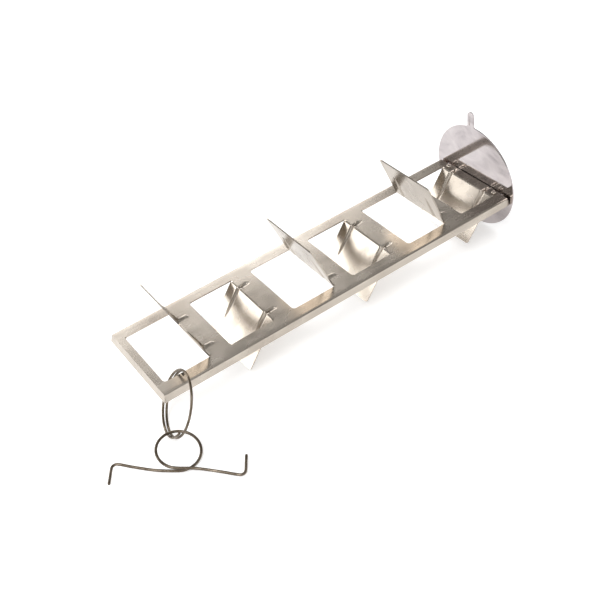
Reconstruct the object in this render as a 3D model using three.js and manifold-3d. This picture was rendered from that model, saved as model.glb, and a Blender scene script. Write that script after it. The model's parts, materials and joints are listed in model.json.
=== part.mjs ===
// A baffle strip for a feed trough: a long pressed sheet strip with six lanced flaps, three
// bent up and three bent down, a round end plate riveted to one end, and a split wire ring
// round the front rail at the other end, which carries a looped wire hanger.
//
// Millimetres, +Z up. The strip is drawn level in its own frame, with x along it from the ring
// end, y across it from the front rail, and z = 0 on its top face. The finished part is then
// tipped, so that the first lowered flap and the end plate both stand on z = 0.

import * as THREE from "three";
import { mergeVertices } from "three/addons/utils/BufferGeometryUtils.js";
import Module from "manifold-3d";

// Strip
const stripWidth = 80;
const sheet = 1;
const flangeDepth = 7.2;
const flangeBend = 2; // outer radius of the bend between the top and a side flange
const railWidth = 10.6;

// Windows
const windowCount = 6;
const windowPitch = 54;
const firstWindow = 7; // from the ring end to the first window
const windowLength = 37;
const lastWindowLength = 33;
const endBar = 8; // from the last window to the end plate
const windowCorner = 2.5;
const lastWindow = firstWindow + (windowCount - 1) * windowPitch;
const stripLength = lastWindow + lastWindowLength + endBar;

// Flaps: each is cut free in its window and bent about the window's far edge
const flapLength = 42.5;
const flapSideGap = 0.6; // between a flap and the rails
const flapFront = railWidth + flapSideGap;
const flapRear = stripWidth - flapFront;
const flapCorner = 2;
const flapBend = 1; // inner radius of the bend
const raisedLean = 21; // degrees from upright, towards the ring end
const loweredLean = 38;

// Darts: pressed gussets that stiffen each bend
const dartInset = 10.4; // from each side of a flap to the middle of the dart
const dartWidth = 5;
const dartOnBar = 6.5; // reach over the crossbar
const dartOnFlap = 26; // reach along the flap
const dartRise = 2.6; // depth of the fill in the corner

// End plate
const plateRadius = 43.6;
const plateRise = 2; // of the plate's centre above the strip's top face
const tabWidth = 7;
const tabHeight = 13;
const tabOffset = 5; // towards the rear rail
const tongueWidth = 10;
const tongueTipGap = 1.4; // from a tongue's tip to the last window
const tongueDartGap = 0.6; // from a tongue's side to the dart beside it
const tongueSlot = 5.5; // height of the slot that the tongue leaves
const tongueInset = flapFront + dartInset - dartWidth / 2 - tongueDartGap - tongueWidth / 2;

// Rivets
const rivetShank = 1.2;
const rivetHead = 2.1;
const rivetHeadHeight = 0.9;
const rivetTail = 1.8;
const rivetTailHeight = 0.7;
const rivetFromEnd = 3.6;
const holeClearance = 0.3;

const seatGap = 0.3; // between pieces that rest on each other

// Split ring
const ringRadius = 23; // at the middle of the wire
const ringWire = 1.8;
const ringPitch = 2.7; // from one turn to the next
const ringTurn = 570; // degrees of wire
const ringStart = 15;
const ringAxis = new THREE.Vector3(0.82, -0.24, -0.51).normalize();
const ringHookAngle = 209; // where the ring passes down behind the front rail
const ringHookGap = 3.1;
const ringHook = new THREE.Vector3(18.6, railWidth + ringHookGap + ringWire / 2, -0.6);

// Hanger: an open loop with two arms, each ending in a short leg
const hangerWire = 2;
const loopLong = 15.8;
const loopShort = 14.6;
const loopTurn = 136; // degrees from the arms to the long axis of the loop
const loopRise = 3.6; // from where the wire enters the loop to where it leaves
const armReach = { left: 42.9, right: 46.5 }; // from the loop's middle to each elbow
const armSweep = 3.9; // each arm bends this far aside between the loop and its elbow
const armKnee = 0.3; // where it starts to, as a share of its reach
const legLength = 15.8;
const legLean = 2.7; // degrees, towards the loop
const elbowRadius = 3.4;
const hangerYaw = -38.3; // degrees, from the strip's length to the arms
const hangerPitch = 5.5;
const hangerRoll = 4.7; // the ring lifts the loop's far side
const linkOnRing = 63.5; // degrees round the ring, where the hanger hooks over it
const linkOnLoop = 123; // and round the loop
const linkGap = 0.1;
const linkAside = -2.8; // along the ring's axis

const steel = { color: 0x9c9389, roughness: 0.34, metalness: 1 };
const polished = { color: 0xb9b0ad, roughness: 0.12, metalness: 1 };
const wireSteel = { color: 0x6e655c, roughness: 0.38, metalness: 1 };

const wasm = await Module();
wasm.setup();

const radians = THREE.MathUtils.degToRad;

// Solids

function solid(geometry) {
  const bare = geometry.index ? geometry.toNonIndexed() : geometry.clone();
  bare.deleteAttribute("normal");
  bare.deleteAttribute("uv");
  const merged = mergeVertices(bare, 1e-4);
  return new wasm.Manifold(
    new wasm.Mesh({
      numProp: 3,
      vertProperties: merged.attributes.position.array,
      triVerts: new Uint32Array(merged.index.array),
    }),
  );
}

function geometryOf(body) {
  const mesh = body.getMesh();
  const geometry = new THREE.BufferGeometry();
  const points = new THREE.BufferAttribute(new Float32Array(mesh.vertProperties), 3);
  geometry.setAttribute("position", points);
  geometry.setIndex(new THREE.BufferAttribute(new Uint32Array(mesh.triVerts), 1));
  return geometry;
}

function box(x0, x1, y0, y1, z0, z1) {
  const geometry = new THREE.BoxGeometry(x1 - x0, y1 - y0, z1 - z0);
  geometry.translate((x0 + x1) / 2, (y0 + y1) / 2, (z0 + z1) / 2);
  return solid(geometry);
}

function roundedOutline(x0, x1, y0, y1, radius) {
  const shape = new THREE.Shape();
  shape.moveTo(x0 + radius, y0);
  shape.lineTo(x1 - radius, y0);
  shape.absarc(x1 - radius, y0 + radius, radius, -Math.PI / 2, 0);
  shape.lineTo(x1, y1 - radius);
  shape.absarc(x1 - radius, y1 - radius, radius, 0, Math.PI / 2);
  shape.lineTo(x0 + radius, y1);
  shape.absarc(x0 + radius, y1 - radius, radius, Math.PI / 2, Math.PI);
  shape.lineTo(x0, y0 + radius);
  shape.absarc(x0 + radius, y0 + radius, radius, Math.PI, 1.5 * Math.PI);
  return shape;
}

function prism(shape, depth, curveSegments = 5) {
  return new THREE.ExtrudeGeometry(shape, { depth, bevelEnabled: false, curveSegments });
}

function mesh(name, geometry, look) {
  const made = new THREE.Mesh(geometry, new THREE.MeshStandardMaterial(look));
  made.name = name;
  return made;
}

// Strip

const windows = Array.from({ length: windowCount }, (_, i) => {
  const start = firstWindow + i * windowPitch;
  const length = i < windowCount - 1 ? windowLength : lastWindowLength;
  return { start, end: start + length, up: i % 2 === 0 };
});

// The strip's cross-section: a flat top with a rounded bend down into each side flange.
function channelSection() {
  const inner = flangeBend - sheet;
  const shape = new THREE.Shape();
  shape.moveTo(0, -flangeDepth);
  shape.lineTo(0, -flangeBend);
  shape.absarc(flangeBend, -flangeBend, flangeBend, Math.PI, Math.PI / 2, true);
  shape.lineTo(stripWidth - flangeBend, 0);
  shape.absarc(stripWidth - flangeBend, -flangeBend, flangeBend, Math.PI / 2, 0, true);
  shape.lineTo(stripWidth, -flangeDepth);
  shape.lineTo(stripWidth - sheet, -flangeDepth);
  shape.lineTo(stripWidth - sheet, -flangeBend);
  shape.absarc(stripWidth - flangeBend, -flangeBend, inner, 0, Math.PI / 2);
  shape.lineTo(flangeBend, -sheet);
  shape.absarc(flangeBend, -flangeBend, inner, Math.PI / 2, Math.PI);
  shape.lineTo(sheet, -flangeDepth);
  return shape;
}

function channel() {
  const geometry = prism(channelSection(), stripLength);
  // The section's own x runs across the strip and its y runs up.
  const across = new THREE.Vector3(0, 1, 0);
  const up = new THREE.Vector3(0, 0, 1);
  const along = new THREE.Vector3(1, 0, 0);
  geometry.applyMatrix4(new THREE.Matrix4().makeBasis(across, up, along));
  return solid(geometry);
}

function windowCut(window) {
  const { start, end } = window;
  const shape = roundedOutline(start, end, railWidth, stripWidth - railWidth, windowCorner);
  const geometry = prism(shape, 3 * sheet, 3);
  geometry.translate(0, 0, -2 * sheet);
  // Between the flap's sides the opening runs on to where the sheet starts to bend.
  const bendStart = flapFrame(window).centre.x;
  const relief = box(end - windowCorner, bendStart, flapFront, flapRear, -2 * sheet, sheet);
  return solid(geometry).add(relief);
}

// A flap in its own section: x along the strip, y up, with the bend starting on the crossbar's
// edge. The middle of the sheet would pass through the window's edge if the bend were sharp.
function flapFrame({ end, up }) {
  const lean = radians(up ? raisedLean : loweredLean);
  const bend = Math.PI / 2 - lean;
  const middle = flapBend + sheet / 2;
  const setback = middle * Math.tan(bend / 2);
  return {
    bend,
    centre: new THREE.Vector2(end + setback, flapBend),
    along: new THREE.Vector2(-Math.sin(lean), Math.cos(lean)),
    straight: flapLength - setback,
  };
}

// The flap's section from its root on the crossbar, round the bend and out to its tip.
function flapSection({ bend, centre, along, straight }) {
  const outer = flapBend + sheet;
  const from = -Math.PI / 2;
  const to = from - bend;
  const root = 1; // keeps the bend joined to the crossbar
  const outward = new THREE.Vector2(Math.cos(to), Math.sin(to));
  const tip = centre.clone().addScaledVector(along, straight);
  const outerTip = tip.clone().addScaledVector(outward, outer);
  const innerTip = tip.clone().addScaledVector(outward, flapBend);
  const shape = new THREE.Shape();
  shape.moveTo(centre.x + root, centre.y - outer);
  shape.absarc(centre.x, centre.y, outer, from, to, true);
  shape.lineTo(outerTip.x, outerTip.y);
  shape.lineTo(innerTip.x, innerTip.y);
  shape.absarc(centre.x, centre.y, flapBend, to, from, false);
  shape.lineTo(centre.x + root, centre.y - flapBend);
  return shape;
}

// Everything between a flap's sides and short of its tip, whose two corners are rounded.
function flapEnvelope({ centre, along, straight }) {
  const reach = 2 * flapLength;
  const outline = new THREE.Shape();
  outline.moveTo(-reach, flapFront);
  outline.lineTo(straight - flapCorner, flapFront);
  outline.absarc(straight - flapCorner, flapFront + flapCorner, flapCorner, -Math.PI / 2, 0);
  outline.lineTo(straight, flapRear - flapCorner);
  outline.absarc(straight - flapCorner, flapRear - flapCorner, flapCorner, 0, Math.PI / 2);
  outline.lineTo(-reach, flapRear);
  const geometry = prism(outline, 2 * reach, 4);
  geometry.translate(0, 0, -reach);
  const run = new THREE.Vector3(along.x, 0, along.y);
  const across = new THREE.Vector3(0, 1, 0);
  const face = new THREE.Vector3().crossVectors(run, across);
  const placed = new THREE.Matrix4().makeBasis(run, across, face);
  placed.setPosition(centre.x, 0, centre.y);
  geometry.applyMatrix4(placed);
  return solid(geometry);
}

// A pressed gusset in the inner corner of a bend, pointed at both ends.
function dart({ centre, along, bend }, y) {
  const sink = 0.4;
  const corner = new THREE.Vector3(centre.x - Math.tan(bend / 2) * flapBend, y, 0);
  const inward = new THREE.Vector3(Math.cos(bend / 2), 0, Math.sin(bend / 2));
  const run = new THREE.Vector3(along.x, 0, along.y);
  const normal = new THREE.Vector3(Math.sin(bend), 0, Math.cos(bend));
  const base = corner.clone().addScaledVector(inward, -sink);
  const front = base.clone().add(new THREE.Vector3(0, -dartWidth / 2, 0));
  const rear = base.clone().add(new THREE.Vector3(0, dartWidth / 2, 0));
  const onBar = corner.clone().add(new THREE.Vector3(dartOnBar, 0, -sink));
  const onFlap = corner.clone().addScaledVector(run, dartOnFlap).addScaledVector(normal, -sink);
  const ridge = corner.clone().addScaledVector(inward, dartRise);
  const points = [front, rear, onBar, onFlap, ridge];
  const faces = [
    [0, 2, 4],
    [2, 1, 4],
    [1, 3, 4],
    [3, 0, 4],
    [0, 1, 2],
    [0, 3, 1],
  ];
  const geometry = new THREE.BufferGeometry().setFromPoints(points);
  geometry.setIndex(faces.flat());
  return solid(geometry);
}

// A flap is drawn rising; a lowered one is the same form, mirrored about the sheet's middle.
function flap(window) {
  const frame = flapFrame(window);
  const width = flapRear - flapFront;
  const sheetBody = prism(flapSection(frame), width, 4);
  const along = new THREE.Vector3(1, 0, 0);
  const up = new THREE.Vector3(0, 0, 1);
  const across = new THREE.Vector3(0, -1, 0);
  sheetBody.applyMatrix4(new THREE.Matrix4().makeBasis(along, up, across));
  sheetBody.translate(0, flapRear, 0);
  let made = solid(sheetBody).intersect(flapEnvelope(frame));
  for (const y of [flapFront + dartInset, flapRear - dartInset]) made = made.add(dart(frame, y));
  return window.up ? made : made.mirror([0, 0, 1]).translate([0, 0, -sheet]);
}

const plateInner = stripLength + seatGap;
const rivetSpots = [tongueInset, stripWidth - tongueInset];

function rivetHole(y) {
  const geometry = new THREE.CylinderGeometry(
    rivetShank + holeClearance,
    rivetShank + holeClearance,
    6 * sheet,
    16,
  );
  geometry.rotateX(Math.PI / 2);
  geometry.translate(stripLength - rivetFromEnd, y, -sheet);
  return solid(geometry);
}

function baffleStrip() {
  let body = channel();
  for (const window of windows) body = body.subtract(windowCut(window));
  for (const window of windows) body = body.add(flap(window));
  for (const y of rivetSpots) body = body.subtract(rivetHole(y));
  return mesh("baffle_strip", geometryOf(body), steel);
}

// End plate

function endPlate() {
  const middle = stripWidth / 2;
  const disc = new THREE.CylinderGeometry(plateRadius, plateRadius, sheet, 72);
  disc.rotateZ(-Math.PI / 2);
  disc.translate(plateInner + sheet / 2, middle, plateRise);
  let body = solid(disc);

  const tabMiddle = middle + tabOffset;
  const tabTop = plateRise + plateRadius + tabHeight;
  const tab = prism(
    roundedOutline(
      tabMiddle - tabWidth / 2,
      tabMiddle + tabWidth / 2,
      plateRise + plateRadius / 2,
      tabTop,
      tabWidth / 2 - 0.01,
    ),
    sheet,
    8,
  );
  const across = new THREE.Vector3(0, 1, 0);
  const up = new THREE.Vector3(0, 0, 1);
  const along = new THREE.Vector3(1, 0, 0);
  tab.applyMatrix4(new THREE.Matrix4().makeBasis(across, up, along));
  tab.translate(plateInner, 0, 0);
  body = body.add(solid(tab));

  const tongueTop = -sheet - seatGap;
  for (const y of rivetSpots) {
    const front = y - tongueWidth / 2;
    const rear = y + tongueWidth / 2;
    const below = tongueTop - sheet;
    const inner = stripLength - endBar + tongueTipGap;
    const slot = box(plateInner - 1, plateInner + 2 * sheet, front, rear, below - tongueSlot, below);
    const tongue = box(inner, plateInner + sheet / 2, front, rear, below, tongueTop);
    body = body.subtract(slot).add(tongue).subtract(rivetHole(y));
  }
  return mesh("end_plate", geometryOf(body), polished);
}

// Rivets: a domed head on the strip, a flat tail under the tongue

function rivet(name, y) {
  const headSeat = seatGap;
  const tailSeat = -2 * sheet - 2 * seatGap;
  const dome = Array.from({ length: 5 }, (_, i) => {
    const angle = (i / 4) * (Math.PI / 2);
    const radius = rivetHead * Math.cos(angle);
    return new THREE.Vector2(i < 4 ? radius : 0, headSeat + rivetHeadHeight * Math.sin(angle));
  });
  const profile = [
    new THREE.Vector2(0, tailSeat - rivetTailHeight),
    new THREE.Vector2(rivetTail, tailSeat - rivetTailHeight),
    new THREE.Vector2(rivetTail, tailSeat),
    new THREE.Vector2(rivetShank, tailSeat),
    new THREE.Vector2(rivetShank, headSeat),
    ...dome,
  ];
  const geometry = new THREE.LatheGeometry(profile, 16);
  geometry.rotateX(Math.PI / 2);
  const made = mesh(name, geometry, steel);
  made.position.set(stripLength - rivetFromEnd, y, 0);
  return made;
}

// Wire pieces

function wire(path, diameter, steps, sides) {
  const section = new THREE.Shape();
  section.absarc(0, 0, diameter / 2, 0, 2 * Math.PI);
  return new THREE.ExtrudeGeometry(section, {
    steps,
    extrudePath: path,
    bevelEnabled: false,
    curveSegments: sides,
  });
}

class Helix extends THREE.Curve {
  getPoint(t, target = new THREE.Vector3()) {
    const angle = radians(ringStart + t * ringTurn);
    const along = ((t - 0.5) * ringTurn * ringPitch) / 360;
    return target.set(ringRadius * Math.cos(angle), ringRadius * Math.sin(angle), along);
  }
}

// The ring's own Z lies along its axis, and its X is level. It hangs from the hook point.
const ringLevel = new THREE.Vector3(ringAxis.y, -ringAxis.x, 0).normalize();
const ringOther = new THREE.Vector3().crossVectors(ringAxis, ringLevel);

function ringOutward(angle) {
  const outward = ringLevel.clone().multiplyScalar(Math.cos(radians(angle)));
  return outward.addScaledVector(ringOther, Math.sin(radians(angle)));
}

const ringCentre = ringHook.clone().addScaledVector(ringOutward(ringHookAngle), -ringRadius);

function splitRing() {
  const made = mesh("split_ring", wire(new Helix(), ringWire, 84, 8), wireSteel);
  const turned = new THREE.Matrix4().makeBasis(ringLevel, ringOther, ringAxis);
  made.quaternion.setFromRotationMatrix(turned);
  made.position.copy(ringCentre);
  return made;
}

// The middle of the hanger's loop, in its own plane: x along the arms, y towards the strip.
// The wire enters the loop at -90 degrees and rises as it goes round.
const loopStart = -90;

function loopPoint(angle) {
  const turn = radians(loopTurn);
  const u = loopLong * Math.cos(radians(angle) - turn);
  const v = loopShort * Math.sin(radians(angle) - turn);
  const x = u * Math.cos(turn) - v * Math.sin(turn);
  const y = u * Math.sin(turn) + v * Math.cos(turn);
  return new THREE.Vector3(x, y, ((angle - loopStart) / 360 - 0.5) * loopRise);
}

function hangerPath() {
  const armLevel = loopPoint(loopStart).y;
  const halfRise = loopRise / 2;

  // From the tip of a leg, round its elbow and along the arm to the loop.
  const arm = (side, reach) => {
    const height = side * halfRise;
    const elbow = armLevel - side * armSweep;
    const inset = Math.tan(radians(legLean)) * (legLength - elbowRadius);
    const nearly = elbowRadius * (1 - Math.SQRT1_2);
    const half = (1 + armKnee) / 2;
    return [
      [reach - inset, elbow + side * legLength],
      [reach - inset / 2, elbow + (side * (legLength + elbowRadius)) / 2],
      [reach, elbow + side * elbowRadius],
      [reach - nearly, elbow + side * nearly],
      [reach - elbowRadius, elbow],
      [reach * half, (armLevel + elbow) / 2],
      [reach * armKnee, armLevel],
    ].map(([x, y]) => new THREE.Vector3(side * x, y, height));
  };

  const turnSteps = 20;
  const loop = Array.from({ length: turnSteps + 1 }, (_, i) => {
    return loopPoint(loopStart + (i / turnSteps) * 360);
  });
  const points = [...arm(-1, armReach.left), ...loop, ...arm(1, armReach.right).reverse()];
  return new THREE.CatmullRomCurve3(points, false, "centripetal");
}

function hanger() {
  const made = mesh("wire_hanger", wire(hangerPath(), hangerWire, 160, 8), wireSteel);
  made.rotation.set(radians(hangerRoll), radians(hangerPitch), radians(hangerYaw), "ZYX");
  // The loop hooks over the inside of the ring's wire.
  const reach = ringRadius - (ringWire + hangerWire) / 2 - linkGap;
  const link = ringCentre.clone().addScaledVector(ringOutward(linkOnRing), reach);
  link.addScaledVector(ringAxis, linkAside);
  made.position.copy(link.sub(loopPoint(linkOnLoop).applyQuaternion(made.quaternion)));
  return made;
}

// Assembly

const assembly = new THREE.Group();
assembly.add(baffleStrip(), endPlate());
assembly.add(rivet("front_rivet", rivetSpots[0]), rivet("rear_rivet", rivetSpots[1]));
assembly.add(splitRing(), hanger());

// Tip the strip until the first lowered flap and the end plate stand on one level.
const firstLowered = windows.find((window) => !window.up);
const footLean = radians(loweredLean);
const footX = firstLowered.end - flapLength * Math.sin(footLean) + (sheet / 2) * Math.cos(footLean);
const footZ = -sheet / 2 - flapLength * Math.cos(footLean) - (sheet / 2) * Math.sin(footLean);
const plateFoot = plateRise - plateRadius;
assembly.rotation.y = -Math.atan2(footZ - plateFoot, plateInner - footX);

// The origin is under the middle of the whole part, on the surface that it stands on.
const extent = new THREE.Box3().setFromObject(assembly, true);
const centre = extent.getCenter(new THREE.Vector3());
assembly.position.set(-centre.x, -centre.y, -extent.min.z);

const group = new THREE.Group();
group.add(assembly);

export default group;
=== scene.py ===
"""Looks for the baffle strip: sheet steel with lanced flaps, a polished end plate, a split ring
and a wire hanger, on a pale floor in soft studio light.

The sheet pieces are drawn in the strip's own frame, in millimetres: x along the strip from the
ring end, y across it from the front rail, and z = 0 on its top face. placed() takes a point from
there into the part's frame, in metres, by the ring's hinge, which runs along the front rail.
"""

import json
import math

import bmesh
import bpy
import numpy as np
from mathutils import Matrix, Vector
from mathutils.geometry import delaunay_2d_cdt


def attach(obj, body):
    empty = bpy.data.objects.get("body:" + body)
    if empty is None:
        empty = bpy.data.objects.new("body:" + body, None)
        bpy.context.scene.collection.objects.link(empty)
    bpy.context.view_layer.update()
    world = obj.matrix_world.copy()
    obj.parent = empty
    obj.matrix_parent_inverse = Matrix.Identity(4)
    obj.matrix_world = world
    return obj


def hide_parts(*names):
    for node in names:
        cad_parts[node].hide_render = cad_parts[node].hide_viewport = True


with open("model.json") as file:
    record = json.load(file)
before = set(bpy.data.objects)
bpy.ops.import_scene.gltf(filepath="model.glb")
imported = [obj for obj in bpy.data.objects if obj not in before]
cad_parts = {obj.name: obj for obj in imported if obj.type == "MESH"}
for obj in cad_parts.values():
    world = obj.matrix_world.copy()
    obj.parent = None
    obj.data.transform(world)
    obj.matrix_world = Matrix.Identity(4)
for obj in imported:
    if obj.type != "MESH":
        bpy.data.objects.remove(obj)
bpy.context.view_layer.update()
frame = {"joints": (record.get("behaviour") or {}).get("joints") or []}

# ---------------------------------------------------------------- sizes, as in the CAD part

STRIP_LENGTH = 318.0
STRIP_WIDTH = 80.0
SHEET = 1.0
FLANGE_DEPTH = 7.2
FLANGE_BEND = 1.5  # radius at the middle of the sheet
RAIL = 10.6
WINDOWS = 6
PITCH = 54.0
FIRST_WINDOW = 7.0
WINDOW_LENGTH = 37.0
LAST_WINDOW_LENGTH = 33.0
WINDOW_CORNER = 2.5
FLAP_LENGTH = 42.5
FLAP_SIDE_GAP = 0.6
FLAP_CORNER = 2.0
FLAP_BEND = 1.5
RAISED_LEAN = 21.0
LOWERED_LEAN = 38.0
DART_INSET = 10.4
DART_SPAN = 4.0  # nothing is pressed further than this from a dart's middle
DART_ON_FLAP = 27.0
DART_ON_BAR = 7.0
DART_DEPTH_ON_FLAP = 1.6
DART_DEPTH_ON_BAR = 1.75
DIMPLE_PLACE = 6.6  # from the flap's root, on the crossbar
DIMPLE_RADIUS = 1.9
DIMPLE_DEPTH = 1.15
DART_COLUMN = 0.45  # spacing of the mesh across a dart
PLATE_RADIUS = 43.6
PLATE_RISE = 2.0
PLATE_GAP = 0.3
RIVET_INSET = 13.5
RIVET_FROM_END = 3.6
RIVET_SHANK = 1.2
RIVET_HEAD = 2.1
RIVET_HEAD_HEIGHT = 0.9
RIVET_TAIL = 1.8
RIVET_TAIL_HEIGHT = 0.7
RING_RADIUS = 23.0
RING_WIRE = 1.8
RING_PITCH = 2.7
RING_START = 15.0
RING_TURN = 570.0
RING_HOOK = Vector((18.6, 14.6, -0.6))
RING_HOOK_ANGLE = 209.0
RING_AXIS = Vector((0.82, -0.24, -0.51)).normalized()
HANGER_WIRE = 2.0
LOOP_LONG = 15.8
LOOP_SHORT = 14.6
LOOP_TURN = 136.0
LOOP_RISE = 3.6
ARM_REACH = (42.9, 46.5)
ARM_SWEEP = 3.9
ARM_KNEE = 0.3
LEG_LENGTH = 15.8
LEG_LEAN = 2.7
ELBOW_RADIUS = 3.4
LINK_ON_RING = 63.5
LINK_ON_LOOP = 123.0
LINK_GAP = 0.1
LINK_ASIDE = -2.8
HANGER_TURN = (4.7, 5.5, -38.3)  # roll, pitch, yaw
MM = 0.001

swing = next(j for j in frame["joints"] if j["name"] == "ring_swing")
along = Vector(swing["axis"]).normalized()
tilt = Matrix.Rotation(-math.atan2(along.z, along.x), 4, "Y")
hinge_in_strip = Vector((0, 5.3, -3)) * MM
origin = Vector(swing["pos_m"]) - tilt @ hinge_in_strip
TO_PART = Matrix.Translation(origin) @ tilt @ Matrix.Scale(MM, 4)


def placed(points):
    """Strip-frame millimetres to part-frame metres."""
    array = np.asarray(points, float)
    matrix = np.array(TO_PART)
    return array @ matrix[:3, :3].T + matrix[:3, 3]


# ---------------------------------------------------------------- meshes


def make_object(name, verts, faces):
    mesh = bpy.data.meshes.new(name)
    corners = [tuple(v) for v in placed(verts)]
    mesh.from_pydata(corners, [], [tuple(int(i) for i in f) for f in faces])
    mesh.validate()
    made = bpy.data.objects.new(name, mesh)
    bpy.context.collection.objects.link(made)
    mesh.shade_smooth()
    return made


def apply_modifiers(made):
    graph = bpy.context.evaluated_depsgraph_get()
    mesh = bpy.data.meshes.new_from_object(made.evaluated_get(graph))
    old = made.data
    made.modifiers.clear()
    made.data = mesh
    bpy.data.meshes.remove(old)
    mesh.name = made.name


def thicken(made, edge=0.22):
    """Gives a sheet its thickness and softens its cut edges."""
    bm = bmesh.new()
    bm.from_mesh(made.data)
    bmesh.ops.remove_doubles(bm, verts=bm.verts, dist=2e-6)
    bmesh.ops.recalc_face_normals(bm, faces=bm.faces)
    bm.to_mesh(made.data)
    bm.free()
    solidify = made.modifiers.new("thickness", "SOLIDIFY")
    solidify.thickness = SHEET * MM
    solidify.offset = 0
    solidify.use_even_offset = True
    bevel = made.modifiers.new("edges", "BEVEL")
    bevel.width = edge * MM
    bevel.segments = 2
    bevel.limit_method = "ANGLE"
    bevel.angle_limit = math.radians(60)
    bevel.use_clamp_overlap = True
    apply_modifiers(made)
    made.data.shade_smooth()
    made.modifiers.new("normals", "WEIGHTED_NORMAL").keep_sharp = False
    apply_modifiers(made)


def sweep(path, radius, sides=18):
    """A round wire along points, closed by softly rounded ends."""
    path = [Vector(p) for p in path]
    tangents = []
    for i in range(len(path)):
        before = path[max(i - 1, 0)]
        after = path[min(i + 1, len(path) - 1)]
        tangents.append((after - before).normalized())
    normal = tangents[0].orthogonal().normalized()
    rings, stations = [], []
    lead = radius / 2
    inset = [(lead * (1 - math.cos(a)), radius - lead * (1 - math.sin(a))) for a in (0.0, 0.5, 1.0)]
    for offset, r in inset:
        stations.append((path[0] + tangents[0] * offset, tangents[0], r))
    for p, t in list(zip(path, tangents))[1:-1]:
        stations.append((p, t, radius))
    for offset, r in reversed(inset):
        stations.append((path[-1] - tangents[-1] * offset, tangents[-1], r))
    verts, faces = [], []
    for p, t, r in stations:
        normal = (normal - t * normal.dot(t)).normalized()
        side = t.cross(normal)
        for k in range(sides):
            angle = 2 * math.pi * k / sides
            verts.append(p + (normal * math.cos(angle) + side * math.sin(angle)) * r)
    for i in range(len(stations) - 1):
        for k in range(sides):
            a, b = i * sides + k, i * sides + (k + 1) % sides
            faces.append((a, b, b + sides, a + sides))
    faces.append(tuple(reversed(range(sides))))
    last_ring = (len(stations) - 1) * sides
    faces.append(tuple(range(last_ring, last_ring + sides)))
    return verts, faces


def lathe(profile, steps=40):
    """A closed body of revolution about z, from a profile that starts and ends on the axis."""
    verts = [(0, 0, profile[0][1]), (0, 0, profile[-1][1])]
    inner = profile[1:-1]
    for r, z in inner:
        for k in range(steps):
            angle = 2 * math.pi * k / steps
            verts.append((r * math.cos(angle), r * math.sin(angle), z))
    faces = []
    for i in range(len(inner) - 1):
        for k in range(steps):
            a, b = 2 + i * steps + k, 2 + i * steps + (k + 1) % steps
            faces.append((a, b, b + steps, a + steps))
    top = 2 + (len(inner) - 1) * steps
    for k in range(steps):
        faces.append((0, 2 + (k + 1) % steps, 2 + k))
        faces.append((1, top + k, top + (k + 1) % steps))
    return verts, faces


# ---------------------------------------------------------------- flat patterns


def arc(cx, cy, r, start, end, steps):
    angles = [math.radians(start + (end - start) * i / steps) for i in range(steps + 1)]
    return [(cx + r * math.cos(a), cy + r * math.sin(a)) for a in angles]


def inside(point, loop):
    x, y = point
    found = False
    for (x0, y0), (x1, y1) in zip(loop, loop[1:] + loop[:1]):
        if (y0 > y) != (y1 > y) and x < (x1 - x0) * (y - y0) / (y1 - y0) + x0:
            found = not found
    return found


def near_loop(point, loops, distance):
    p = np.array(point)
    for loop in loops:
        a = np.array(loop)
        b = np.roll(a, -1, axis=0)
        edge = b - a
        length2 = np.maximum((edge**2).sum(1), 1e-12)
        share = np.clip(((p - a) * edge).sum(1) / length2, 0, 1)
        foot = a + edge * share[:, None]
        if (((p - foot) ** 2).sum(1)).min() < distance**2:
            return True
    return False


def fill(outline, holes, inner_points):
    """Triangles of a flat shape with holes, passing through the inner points."""
    loops = [outline] + holes
    coords, edges = [], []
    for loop in loops:
        first = len(coords)
        coords += loop
        edges += [(first + i, first + (i + 1) % len(loop)) for i in range(len(loop))]
    coords += inner_points
    points, _, triangles, *_ = delaunay_2d_cdt([Vector(c) for c in coords], edges, [], 0, 1e-5)
    points = [tuple(p) for p in points]
    kept = []
    for triangle in triangles:
        middle = tuple(np.mean([points[i] for i in triangle], axis=0))
        if inside(middle, outline) and not any(inside(middle, hole) for hole in holes):
            kept.append(triangle)
    return points, kept


# ---------------------------------------------------------------- the strip

MID = -SHEET / 2  # the middle of the strip's sheet
LEG = FLANGE_DEPTH - SHEET / 2 - FLANGE_BEND  # straight part of a flange
QUARTER = math.pi / 2 * FLANGE_BEND
FLAT_START = LEG + QUARTER  # of the developed width, where the flat top begins
EDGE = SHEET / 2 + FLANGE_BEND  # from the strip's side to the flat top
DEVELOPED = 2 * FLAT_START + STRIP_WIDTH - 2 * EDGE


def channel(v):
    """The developed width to (y, z) at the middle of the sheet."""
    if v > DEVELOPED / 2:
        y, z = channel(DEVELOPED - v)
        return STRIP_WIDTH - y, z
    if v < LEG:
        return SHEET / 2, -FLANGE_DEPTH + v
    if v < FLAT_START:
        angle = (v - LEG) / FLANGE_BEND
        corner = MID - FLANGE_BEND
        return EDGE - FLANGE_BEND * math.cos(angle), corner + FLANGE_BEND * math.sin(angle)
    return EDGE + v - FLAT_START, MID


def developed(y):
    return FLAT_START + y - EDGE


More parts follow.
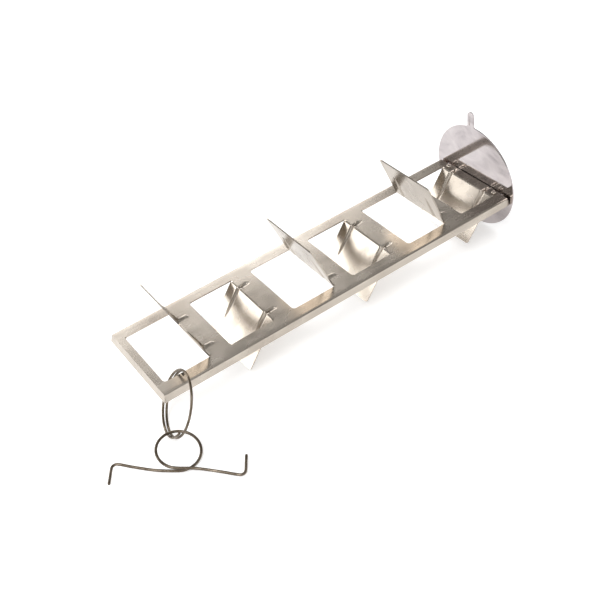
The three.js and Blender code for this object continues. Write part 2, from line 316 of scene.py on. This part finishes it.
class Flap:
    """One lanced flap: where it bends, which way it leans, and its two pressed darts."""

    def __init__(self, index):
        self.start = FIRST_WINDOW + index * PITCH
        self.end = self.start + (WINDOW_LENGTH if index < WINDOWS - 1 else LAST_WINDOW_LENGTH)
        self.up = index % 2 == 0
        lean = math.radians(RAISED_LEAN if self.up else LOWERED_LEAN)
        self.bend = math.pi / 2 - lean
        self.setback = FLAP_BEND * math.tan(self.bend / 2)
        self.root = self.end + self.setback
        self.direction = (-math.sin(lean), math.cos(lean))
        self.arc = FLAP_BEND * self.bend
        self.length = self.arc + FLAP_LENGTH - self.setback
        self.front = RAIL + FLAP_SIDE_GAP
        self.rear = STRIP_WIDTH - RAIL - FLAP_SIDE_GAP
        self.width = self.rear - self.front
        self.darts = [self.front + DART_INSET, self.rear - DART_INSET]
        self.sign = 1 if self.up else -1

    def section(self, s):
        """Distance from the root, out along the flap, to (x, z) and the inward normal."""
        if s < 0:
            return self.root - s, 0.0, 0.0, 1.0
        if s < self.arc:
            angle = s / FLAP_BEND
            x = self.root - FLAP_BEND * math.sin(angle)
            z = FLAP_BEND * (1 - math.cos(angle))
            return x, z, math.sin(angle), math.cos(angle)
        x = self.root - FLAP_BEND * math.sin(self.bend)
        z = FLAP_BEND * (1 - math.cos(self.bend))
        rest = s - self.arc
        x += self.direction[0] * rest
        z += self.direction[1] * rest
        return x, z, math.sin(self.bend), math.cos(self.bend)

    def dart_depth(self, s, y):
        """How far a dart presses the sheet inward."""
        depth = 0.0
        for middle in self.darts:
            w = abs(y - middle)
            if w > DART_SPAN:
                continue
            out = (s - self.arc / 2) / DART_ON_FLAP
            back = (self.arc / 2 - s) / DART_ON_BAR
            if s > self.arc / 2:
                half = 2.5 - 1.2 * min(out, 1)
                deep = DART_DEPTH_ON_FLAP * max(0.0, 1 - out**2)
            else:
                half = 1.9
                end = math.sqrt(max(0.0, 1 - max(0, back) ** 8))
                deep = DART_DEPTH_ON_BAR * (1 - 0.35 * min(back, 1)) * end
            if w < half:
                depth = max(depth, deep * math.cos(math.pi / 2 * w / half) ** 2)
        # the round-ended dimple where a dart stops on the crossbar
        for middle in self.darts:
            away = math.hypot(s + DIMPLE_PLACE, y - middle)
            if away < DIMPLE_RADIUS:
                fall = math.cos(math.pi / 2 * away / DIMPLE_RADIUS) ** 2
                depth = max(depth, DIMPLE_DEPTH * fall)
        return depth

    def point(self, s, y):
        x, z, nx, nz = self.section(s)
        d = self.dart_depth(s, y)
        return x + nx * d, y, MID + self.sign * (z + nz * d)


flaps = [Flap(i) for i in range(WINDOWS)]


def flap_columns(flap):
    """Places across a flap, close together over its darts."""
    columns = {round(flap.front, 4), round(flap.rear, 4)}
    for middle in flap.darts:
        columns |= {round(middle + DART_COLUMN * k, 4) for k in range(-8, 9)}
    coarse = np.linspace(flap.front, flap.rear, 30)
    for y in coarse:
        if all(abs(y - c) > 1.2 for c in columns):
            columns.add(round(float(y), 4))
    return sorted(columns)


def flap_rows(flap):
    """Places out along a flap, close together round the bend and where its corners are."""
    rows = [flap.arc * k / 8 for k in range(9)]
    s = flap.arc
    while s < flap.arc + 25:
        s += 0.8
        rows.append(s)
    straight_end = flap.length - FLAP_CORNER
    rows += list(np.linspace(s, straight_end, 6))[1:]
    rows += [flap.length - FLAP_CORNER * (1 - math.sin(math.pi / 2 * k / 6)) for k in range(1, 7)]
    return rows


GRID = 2.6  # spacing of the mesh on the flat parts of the strip


def strip_mesh():
    corner = 0.8
    outline = []
    for cx, cy, start in (
        (corner, corner, 180),
        (STRIP_LENGTH - corner, corner, 270),
        (STRIP_LENGTH - corner, DEVELOPED - corner, 0),
        (corner, DEVELOPED - corner, 90),
    ):
        outline += arc(cx, cy, corner, start, start + 90, 3)
    holes = []
    for flap in flaps:
        v = [developed(y) for y in (RAIL, STRIP_WIDTH - RAIL, flap.front, flap.rear)]
        r = WINDOW_CORNER
        notch = 0.35  # radius of the relief beside the bend
        loop = arc(flap.start + r, v[0] + r, r, 180, 270, 6)
        loop += [(x, v[0]) for x in np.arange(flap.start + 5, flap.end - 1, 3.0)]
        loop += [(flap.root - notch, v[0]), (flap.root + 0.25, v[0] + 0.1)]
        loop += [(flap.root, developed(y)) for y in flap_columns(flap)]
        loop += [(flap.root + 0.25, v[1] - 0.1), (flap.root - notch, v[1])]
        loop += [(x, v[1]) for x in np.arange(flap.start + 5, flap.end - 1, 3.0)[::-1]]
        loop += arc(flap.start + r, v[1] - r, r, 90, 180, 6)
        holes.append([(float(a), float(b)) for a, b in loop])
    for y in (RIVET_INSET, STRIP_WIDTH - RIVET_INSET):
        holes.append(arc(STRIP_LENGTH - RIVET_FROM_END, developed(y), 1.5, 0, 345, 23))

    rows = [LEG * k / 3 for k in range(1, 4)] + [LEG + QUARTER * k / 6 for k in range(1, 7)]
    rows += [DEVELOPED - v for v in rows]
    rows += list(np.arange(FLAT_START + GRID, DEVELOPED - FLAT_START - 1, GRID))
    places = np.arange(1.6, STRIP_LENGTH - 1, GRID)
    inner = [(float(x), float(v)) for v in rows for x in places]
    coarse = len(inner)
    for flap in flaps:
        for middle in flap.darts:
            for s in np.arange(0.5, 9.6, 0.5):
                for k in range(-8, 9):
                    inner.append((flap.root + float(s), developed(middle + DART_COLUMN * k)))
    dense = [(f.root, developed(m)) for f in flaps for m in f.darts]
    kept = []
    for i, (x, v) in enumerate(inner):
        in_dense = any(0 < x - dx < 10.2 and abs(v - dv) < 4.1 for dx, dv in dense)
        is_dense = i >= coarse
        if in_dense and not is_dense:
            continue
        if any(inside((x, v), hole) for hole in holes):
            continue
        if near_loop((x, v), [outline] + holes, 0.3 if is_dense else 0.9):
            continue
        kept.append((x, v))
    points, triangles = fill(outline, holes, kept)

    verts = []
    for x, v in points:
        y, z = channel(v)
        flat = FLAT_START + 2 < v < DEVELOPED - FLAT_START - 2
        if flat:
            for flap in flaps:
                if -0.001 < x - flap.root < 10:
                    z += flap.sign * flap.dart_depth(flap.root - x, y)
        verts.append((x, y, z))
    faces = [list(t) for t in triangles]

    for flap in flaps:
        first = len(verts)
        columns, flap_s = flap_columns(flap), flap_rows(flap)
        middle = (flap.front + flap.rear) / 2
        for s in flap_s:
            from_tip = s - (flap.length - FLAP_CORNER)
            pinch = 0.0
            if from_tip > 0:
                pinch = FLAP_CORNER - math.sqrt(max(0.0, FLAP_CORNER**2 - from_tip**2))
            for y in columns:
                shrunk = middle + (y - middle) * (1 - 2 * pinch / flap.width)
                verts.append(flap.point(s, shrunk))
        n = len(columns)
        for i in range(len(flap_s) - 1):
            for k in range(n - 1):
                a = first + i * n + k
                faces.append([a, a + 1, a + n + 1, a + n])
    return verts, faces


# ---------------------------------------------------------------- the end plate

PLATE_MID = STRIP_LENGTH + PLATE_GAP + SHEET / 2
TONGUE_WIDTH = 10.0
TONGUE_MID = -SHEET - PLATE_GAP - SHEET / 2
TONGUE_BEND = 1.0
TONGUE_END = STRIP_LENGTH - 6.6
SLOT_BOTTOM = TONGUE_MID - SHEET / 2 - 5.5
TAB_MIDDLE = STRIP_WIDTH / 2 + 5.0
TAB_HALF = 3.5
TAB_TOP = PLATE_RISE + PLATE_RADIUS + 13.0
PRESS_HALF = 2.6  # half the width of the tab's shallow channel
PRESS_DEPTH = 0.4
RIM = 1.0  # from the plate's edge to a ring of mesh points


def plate_mesh():
    middle = STRIP_WIDTH / 2
    feet = [TAB_MIDDLE + side * (TAB_HALF + 0.9) - middle for side in (-1, 1)]
    foot = [math.asin(y / PLATE_RADIUS) for y in feet]
    start = 90 - math.degrees(foot[0])
    end = 90 - math.degrees(foot[1]) + 360
    outline = arc(middle, PLATE_RISE, PLATE_RADIUS, start, end, 110)
    z_foot = PLATE_RISE + PLATE_RADIUS * math.cos(foot[1])
    blend = [
        (TAB_MIDDLE + TAB_HALF + 0.35, z_foot + 0.35),
        (TAB_MIDDLE + TAB_HALF + 0.05, z_foot + 1.1),
    ]
    outline += blend
    outline += arc(TAB_MIDDLE, TAB_TOP - TAB_HALF, TAB_HALF, 0, 180, 16)
    z_foot = PLATE_RISE + PLATE_RADIUS * math.cos(foot[0])
    outline += [
        (TAB_MIDDLE - TAB_HALF - 0.05, z_foot + 1.1),
        (TAB_MIDDLE - TAB_HALF - 0.35, z_foot + 0.35),
    ]
    holes = []
    tongue_top = TONGUE_MID + TONGUE_BEND
    columns = {}
    for y in (RIVET_INSET, STRIP_WIDTH - RIVET_INSET):
        columns[y] = [float(c) for c in np.linspace(y - TONGUE_WIDTH / 2, y + TONGUE_WIDTH / 2, 9)]
        gap = 0.25
        low, high = columns[y][0] - gap, columns[y][-1] + gap
        loop = [(c, tongue_top) for c in columns[y]]
        loop += [(high, tongue_top - 0.3), (high, SLOT_BOTTOM + 0.8), (high - 0.25, SLOT_BOTTOM + 0.2)]
        loop += [(c, SLOT_BOTTOM) for c in reversed(columns[y][1:-1])]
        loop += [(low + 0.25, SLOT_BOTTOM + 0.2), (low, SLOT_BOTTOM + 0.8), (low, tongue_top - 0.3)]
        holes.append(loop)
    inner = []
    for r in np.arange(2.5, PLATE_RADIUS - 1, 2.7):
        count = max(6, int(2 * math.pi * r / 3))
        for k in range(count):
            a = 2 * math.pi * k / count
            inner.append((middle + r * math.cos(a), PLATE_RISE + r * math.sin(a)))
    for z in np.arange(PLATE_RISE + PLATE_RADIUS - 7, TAB_TOP - 0.7, 0.8):
        for k in range(-4, 5):
            inner.append((TAB_MIDDLE + k * 0.72, float(z)))
    inner += arc(middle, PLATE_RISE, PLATE_RADIUS - RIM, 0, 357, 119)
    kept = []
    for p in inner:
        p = (float(p[0]), float(p[1]))
        if not inside(p, outline) or any(inside(p, hole) for hole in holes):
            continue
        if near_loop(p, [outline] + holes, 0.35):
            continue
        kept.append(p)
    points, triangles = fill(outline, holes, kept)

    def press(y, z):
        """The tab's shallow channel, which runs a little way down into the plate."""
        w = abs(y - TAB_MIDDLE)
        reach = PLATE_RISE + PLATE_RADIUS - 5
        if w > PRESS_HALF or z < reach:
            return 0.0
        fade = min(1.0, (z - reach) / 6) * min(1.0, max(0.0, (TAB_TOP - 0.4 - z) / 3))
        return PRESS_DEPTH * fade * math.cos(math.pi / 2 * w / PRESS_HALF) ** 2

    verts = [(PLATE_MID + press(y, z), y, z) for y, z in points]
    faces = [list(t) for t in triangles]
    for y, across in columns.items():
        first = len(verts)
        path = []
        centre_x = PLATE_MID - TONGUE_BEND
        for k in range(7):
            a = math.pi / 2 * k / 6
            path.append((centre_x + TONGUE_BEND * math.cos(a), tongue_top - TONGUE_BEND * math.sin(a)))
        for x in np.linspace(centre_x, TONGUE_END, 6)[1:]:
            path.append((float(x), TONGUE_MID))
        n = len(across)
        for i, (x, z) in enumerate(path):
            squeeze = 1.0 if i < len(path) - 1 else 0.86
            for c in across:
                verts.append((x, y + (c - y) * squeeze, z))
        for i in range(len(path) - 1):
            for k in range(n - 1):
                a = first + i * n + k
                faces.append([a, a + 1, a + n + 1, a + n])
    return verts, faces


# ---------------------------------------------------------------- wires


RING_LEVEL = RING_AXIS.cross(Vector((0, 0, 1))).normalized()
RING_OTHER = RING_AXIS.cross(RING_LEVEL)


def ring_outward(angle):
    return RING_LEVEL * math.cos(math.radians(angle)) + RING_OTHER * math.sin(math.radians(angle))


RING_CENTRE = RING_HOOK - ring_outward(RING_HOOK_ANGLE) * RING_RADIUS


def ring_path(steps=300):
    path = []
    for i in range(steps + 1):
        share = i / steps
        # the two turns lie close together, and the wire steps across between them
        lift = (share - 0.5) * RING_TURN * RING_PITCH / 360
        radial = ring_outward(RING_START + share * RING_TURN)
        path.append(RING_CENTRE + radial * RING_RADIUS + RING_AXIS * lift)
    return path


def curve_through(points, per_span=8):
    """A centripetal Catmull-Rom curve through the points."""
    points = [Vector(p) for p in points]
    ends = [points[0] * 2 - points[1]] + points + [points[-1] * 2 - points[-2]]
    path = []
    for i in range(1, len(ends) - 2):
        p0, p1, p2, p3 = ends[i - 1 : i + 3]
        d01 = max((p1 - p0).length ** 0.5, 1e-4)
        d12 = max((p2 - p1).length ** 0.5, 1e-4)
        d23 = max((p3 - p2).length ** 0.5, 1e-4)
        t1 = ((p1 - p0) / d01 - (p2 - p0) / (d01 + d12) + (p2 - p1) / d12) * d12
        t2 = ((p2 - p1) / d12 - (p3 - p1) / (d12 + d23) + (p3 - p2) / d23) * d12
        for k in range(per_span):
            t = k / per_span
            a = 2 * t**3 - 3 * t**2 + 1
            b = t**3 - 2 * t**2 + t
            c = -2 * t**3 + 3 * t**2
            d = t**3 - t**2
            path.append(p1 * a + t1 * b + p2 * c + t2 * d)
    path.append(points[-1])
    return path


def hanger_path():
    turn = math.radians(LOOP_TURN)

    def loop_point(angle, height):
        u = LOOP_LONG * math.cos(angle - turn)
        v = LOOP_SHORT * math.sin(angle - turn)
        x = u * math.cos(turn) - v * math.sin(turn)
        y = u * math.sin(turn) + v * math.cos(turn)
        return Vector((x, y, height))

    enter = -math.pi / 2
    level = loop_point(enter, 0).y

    def arm(side, reach):
        height = side * LOOP_RISE / 2
        elbow = level - side * ARM_SWEEP
        inset = math.tan(math.radians(LEG_LEAN)) * (LEG_LENGTH - ELBOW_RADIUS)
        half_leg = (LEG_LENGTH + ELBOW_RADIUS) / 2
        points = [(reach - inset, elbow + side * LEG_LENGTH)]
        points.append((reach - inset / 2, elbow + side * half_leg))
        for k in range(5):
            a = math.pi / 2 * k / 4
            back = ELBOW_RADIUS * (1 - math.cos(a))
            points.append((reach - back, elbow + side * ELBOW_RADIUS * (1 - math.sin(a))))
        points.append((reach * (1 + ARM_KNEE) / 2, (level + elbow) / 2))
        points.append((reach * ARM_KNEE, level))
        return [Vector((side * x, y, height)) for x, y in points]

    loop = [loop_point(enter + k / 24 * 2 * math.pi, (k / 24 - 0.5) * LOOP_RISE) for k in range(25)]
    left, right = ARM_REACH
    flat = curve_through(arm(-1, left) + loop + arm(1, right)[::-1], 7)
    roll, pitch, yaw = (math.radians(a) for a in HANGER_TURN)
    turned = (
        Matrix.Rotation(yaw, 3, "Z") @ Matrix.Rotation(pitch, 3, "Y") @ Matrix.Rotation(roll, 3, "X")
    )
    reach = RING_RADIUS - (RING_WIRE + HANGER_WIRE) / 2 - LINK_GAP
    link = RING_CENTRE + ring_outward(LINK_ON_RING) * reach + RING_AXIS * LINK_ASIDE
    height = ((LINK_ON_LOOP + 90) / 360 - 0.5) * LOOP_RISE
    place = link - turned @ loop_point(math.radians(LINK_ON_LOOP), height)
    return [place + turned @ p for p in flat]


# ---------------------------------------------------------------- materials


class Nodes:
    """A short way to write a material's nodes."""

    def __init__(self, name):
        self.material = bpy.data.materials.new(name)
        self.material.use_nodes = True
        self.tree = self.material.node_tree
        self.tree.nodes.clear()
        self.shader = self.add("ShaderNodeBsdfPrincipled")
        output = self.add("ShaderNodeOutputMaterial")
        self.link(self.shader.outputs[0], output.inputs[0])

    def add(self, kind, **values):
        node = self.tree.nodes.new(kind)
        for key, value in values.items():
            setattr(node, key, value)
        return node

    def link(self, a, b):
        self.tree.links.new(a, b)

    def coordinates(self, scale=(1, 1, 1), turn=(0, 0, 0)):
        texture = self.add("ShaderNodeTexCoord")
        mapping = self.add("ShaderNodeMapping")
        mapping.inputs["Scale"].default_value = scale
        mapping.inputs["Rotation"].default_value = turn
        self.link(texture.outputs["Object"], mapping.inputs["Vector"])
        return mapping.outputs["Vector"]

    def noise(self, vector, scale, detail=4.0, rough=0.55, distortion=0.0):
        node = self.add("ShaderNodeTexNoise")
        node.inputs["Scale"].default_value = scale
        node.inputs["Detail"].default_value = detail
        node.inputs["Roughness"].default_value = rough
        node.inputs["Distortion"].default_value = distortion
        self.link(vector, node.inputs["Vector"])
        return node.outputs["Fac"]

    def ramp(self, value, stops):
        node = self.add("ShaderNodeValToRGB")
        elements = node.color_ramp.elements
        while len(elements) > 1:
            elements.remove(elements[0])
        elements[0].position = stops[0][0]
        elements[0].color = colour(stops[0][1])
        for position, c in stops[1:]:
            elements.new(position).color = colour(c)
        self.link(value, node.inputs["Fac"])
        return node.outputs["Color"]

    def mix(self, factor, a, b, blend="MIX"):
        node = self.add("ShaderNodeMix", data_type="RGBA", blend_type=blend)
        if isinstance(factor, float):
            node.inputs["Factor"].default_value = factor
        else:
            self.link(factor, node.inputs["Factor"])
        for socket, value in ((node.inputs["A"], a), (node.inputs["B"], b)):
            if isinstance(value, tuple):
                socket.default_value = colour(value)
            else:
                self.link(value, socket)
        return node.outputs["Result"]

    def bump(self, height, strength, distance, after=None):
        node = self.add("ShaderNodeBump")
        node.inputs["Strength"].default_value = strength
        node.inputs["Distance"].default_value = distance
        self.link(height, node.inputs["Height"])
        if after:
            self.link(after, node.inputs["Normal"])
        return node.outputs["Normal"]


def colour(value):
    return tuple(value) if len(value) == 4 else tuple(value) + (1.0,)


def grey(value):
    return (value, value, value)


def sheet_steel():
    """Mill-finish stainless sheet: fine grain along the strip, faint stains and handling marks."""
    n = Nodes("mill_finish_steel")
    grain = n.noise(n.coordinates((90, 1500, 1500)), 1.0, 3.0, 0.6)
    fine = n.noise(n.coordinates((500, 4200, 4200)), 1.0, 2.0, 0.5)
    cloud = n.noise(n.coordinates(), 22.0, 2.0, 0.45)
    stain = n.noise(n.coordinates((1, 1.6, 1.2), (0, 0, 0.5)), 45.0, 3.0, 0.5)
    dark, middling, light = (0.43, 0.38, 0.325), (0.50, 0.45, 0.39), (0.58, 0.525, 0.46)
    base = n.ramp(cloud, [(0.3, dark), (0.52, middling), (0.72, light)])
    stained = n.ramp(stain, [(0.5, grey(0)), (0.66, grey(0.25)), (0.8, grey(0.4))])
    base = n.mix(stained, base, (0.32, 0.275, 0.235))
    streak = n.ramp(grain, [(0.3, grey(0.9)), (0.7, grey(1.06))])
    base = n.mix(0.55, base, streak, "MULTIPLY")
    n.link(base, n.shader.inputs["Base Color"])
    rough = n.ramp(cloud, [(0.3, grey(0.19)), (0.7, grey(0.27))])
    rough = n.mix(0.3, rough, n.ramp(stain, [(0.4, grey(0.22)), (0.7, grey(0.5))]))
    n.link(rough, n.shader.inputs["Roughness"])
    waves = n.bump(n.noise(n.coordinates(), 26.0, 1.0, 0.3), 0.04, 0.0005)
    lines = n.bump(grain, 0.1, 0.00005, waves)
    n.link(n.bump(fine, 0.05, 0.00003, lines), n.shader.inputs["Normal"])
    n.shader.inputs["Metallic"].default_value = 1.0
    return n.material


def plate_steel():
    """Bright stainless, almost a mirror, with faint smears and hairline scratches."""
    n = Nodes("bright_plate_steel")
    smear = n.noise(n.coordinates((1, 1, 1.8), (0.4, 0, 0)), 42.0, 4.0, 0.55, 0.6)
    hair = n.noise(n.coordinates((600, 900, 90), (0.5, 0, 0)), 1.0, 3.0, 0.7)
    clean, dulled, smeared = (0.58, 0.54, 0.54), (0.50, 0.46, 0.465), (0.38, 0.345, 0.355)
    base = n.ramp(smear, [(0.35, clean), (0.55, dulled), (0.72, smeared)])
    n.link(base, n.shader.inputs["Base Color"])
    rough = n.ramp(smear, [(0.4, grey(0.07)), (0.6, grey(0.12)), (0.8, grey(0.24))])
    n.link(rough, n.shader.inputs["Roughness"])
    waves = n.bump(n.noise(n.coordinates(), 22.0, 1.0, 0.3), 0.06, 0.0005)
    n.link(n.bump(hair, 0.05, 0.00003, waves), n.shader.inputs["Normal"])
    n.shader.inputs["Metallic"].default_value = 1.0
    return n.material


def wire_steel(name):
    """Drawn spring wire: dull and brown-grey, with a darker film worn through in places."""
    n = Nodes(name)
    film = n.noise(n.coordinates(), 150.0, 5.0, 0.65, 0.6)
    speck = n.noise(n.coordinates(), 900.0, 3.0, 0.6)
    thick, thin, bare = (0.08, 0.062, 0.045), (0.14, 0.113, 0.085), (0.26, 0.215, 0.17)
    base = n.ramp(film, [(0.3, thick), (0.5, thin), (0.72, bare)])
    base = n.mix(0.35, base, n.ramp(speck, [(0.35, grey(0.6)), (0.65, grey(1.2))]), "MULTIPLY")
    n.link(base, n.shader.inputs["Base Color"])
    n.link(n.ramp(film, [(0.3, grey(0.42)), (0.7, grey(0.24))]), n.shader.inputs["Roughness"])
    n.link(n.bump(speck, 0.2, 0.00005), n.shader.inputs["Normal"])
    n.shader.inputs["Metallic"].default_value = 1.0
    return n.material


def floor_white():
    n = Nodes("studio_floor")
    cloud = n.noise(n.coordinates(), 1.2, 3.0, 0.5)
    n.link(n.ramp(cloud, [(0.3, grey(0.93)), (0.7, grey(0.95))]), n.shader.inputs["Base Color"])
    n.shader.inputs["Roughness"].default_value = 0.9
    n.shader.inputs["Emission Color"].default_value = (1.0, 1.0, 1.0, 1.0)
    n.shader.inputs["Emission Strength"].default_value = 0.4
    return n.material


# ---------------------------------------------------------------- pieces

steel = sheet_steel()
bright = plate_steel()
ring_steel = wire_steel("ring_wire_steel")
hanger_steel = wire_steel("hanger_wire_steel")


def finish_piece(made, material, node, body):
    made.data.materials.clear()
    made.data.materials.append(material)
    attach(made, body)
    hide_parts(node)
    return made


strip = make_object("strip_sheet", *strip_mesh())
thicken(strip)
finish_piece(strip, steel, "baffle_strip", "strip")

plate = make_object("end_plate_sheet", *plate_mesh())
thicken(plate, 0.18)
finish_piece(plate, bright, "end_plate", "strip")

for name, node, y in (
    ("front_rivet_body", "front_rivet", RIVET_INSET),
    ("rear_rivet_body", "rear_rivet", STRIP_WIDTH - RIVET_INSET),
):
    head, tail = PLATE_GAP, -2 * SHEET - 2 * PLATE_GAP
    bottom = tail - RIVET_TAIL_HEIGHT
    profile = [(0, bottom), (RIVET_TAIL - 0.3, bottom), (RIVET_TAIL, bottom + 0.25), (RIVET_TAIL, tail)]
    profile += [(RIVET_SHANK, tail), (RIVET_SHANK, head), (RIVET_HEAD - 0.1, head)]
    profile += [(RIVET_HEAD, head + 0.12)]
    for a in (0.3, 0.55, 0.8, 1.1, 1.35):
        profile.append((RIVET_HEAD * math.cos(a), head + RIVET_HEAD_HEIGHT * math.sin(a)))
    profile += [(0, head + RIVET_HEAD_HEIGHT)]
    verts, faces = lathe(profile)
    moved = [(x + STRIP_LENGTH - RIVET_FROM_END, v + y, z) for x, v, z in verts]
    rivet = make_object(name, moved, faces)
    finish_piece(rivet, steel, node, "strip")

verts, faces = sweep(ring_path(), RING_WIRE / 2)
ring = make_object("split_ring_wire", verts, faces)
finish_piece(ring, ring_steel, "split_ring", "ring")

verts, faces = sweep(hanger_path(), HANGER_WIRE / 2)
hanger = make_object("hanger_wire", verts, faces)
finish_piece(hanger, hanger_steel, "wire_hanger", "hanger")

# ---------------------------------------------------------------- studio


def floor():
    size = 8.0
    bm = bmesh.new()
    for x, y in ((-size, -size), (size, -size), (size, size), (-size, size)):
        bm.verts.new((x, y, 0))
    bm.faces.new(bm.verts)
    mesh = bpy.data.meshes.new("studio_floor")
    bm.to_mesh(mesh)
    bm.free()
    made = bpy.data.objects.new("studio_floor", mesh)
    bpy.context.collection.objects.link(made)
    mesh.materials.append(floor_white())


def area_light(name, place, aim, size, power, tint=(1, 1, 1)):
    light = bpy.data.lights.new(name, "AREA")
    light.shape = "RECTANGLE"
    light.size, light.size_y = size
    light.energy = power
    light.color = tint
    made = bpy.data.objects.new(name, light)
    made.location = place
    made.rotation_euler = (Vector(aim) - Vector(place)).to_track_quat("-Z", "Y").to_euler()
    bpy.context.collection.objects.link(made)
    return made


def sky():
    """A bright band round the horizon, darker overhead."""
    world = bpy.data.worlds.new("studio")
    bpy.context.scene.world = world
    world.use_nodes = True
    tree = world.node_tree
    tree.nodes.clear()
    texture = tree.nodes.new("ShaderNodeTexCoord")
    split = tree.nodes.new("ShaderNodeSeparateXYZ")
    ramp = tree.nodes.new("ShaderNodeValToRGB")
    background = tree.nodes.new("ShaderNodeBackground")
    output = tree.nodes.new("ShaderNodeOutputWorld")
    tree.links.new(texture.outputs["Generated"], split.inputs[0])
    tree.links.new(split.outputs["Z"], ramp.inputs["Fac"])
    tree.links.new(ramp.outputs["Color"], background.inputs["Color"])
    tree.links.new(background.outputs[0], output.inputs[0])
    elements = ramp.color_ramp.elements
    elements[0].position = 0.0
    elements[0].color = (1, 1, 1, 1)
    elements[1].position = 1.0
    elements[1].color = (0.5, 0.5, 0.5, 1)
    for position, value in (
        (0.28, (1.0, 1.0, 1.0, 1)),
        (0.45, (0.24, 0.235, 0.23, 1)),
        (0.8, (0.2, 0.197, 0.194, 1)),
    ):
        elements.new(position).color = value
    background.inputs["Strength"].default_value = 1.4


floor()
sky()
area_light("key", (-0.9, -0.5, 1.5), (0, 0, 0), (1.0, 1.0), 16)
area_light("back", (0.2, 1.5, 0.9), (0, 0, 0), (1.6, 0.5), 9)
area_light("side", (-1.35, 1.2, 0.42), (0, 0, 0.03), (1.4, 0.7), 9)
bpy.context.scene.view_settings.view_transform = "Standard"

# ---------------------------------------------------------------- camera

camera = bpy.data.cameras.new("camera")
camera.sensor_width = 36
camera.lens = 57.06
camera.clip_start = 0.01
viewer = bpy.data.objects.new("camera", camera)
bpy.context.collection.objects.link(viewer)
eye = Vector((-0.27574, -0.44387, 0.48538))
elevation, azimuth, roll = math.radians(40.557), math.radians(30.774), math.radians(6.987)
forward = Vector(
    (
        math.sin(azimuth) * math.cos(elevation),
        math.cos(azimuth) * math.cos(elevation),
        -math.sin(elevation),
    )
)
level_right = forward.cross(Vector((0, 0, 1))).normalized()
level_up = level_right.cross(forward)
right = level_right * math.cos(roll) - level_up * math.sin(roll)
up = right.cross(forward)
viewer.matrix_world = Matrix.Translation(eye) @ Matrix((right, up, -forward)).transposed().to_4x4()
bpy.context.scene.camera = viewer
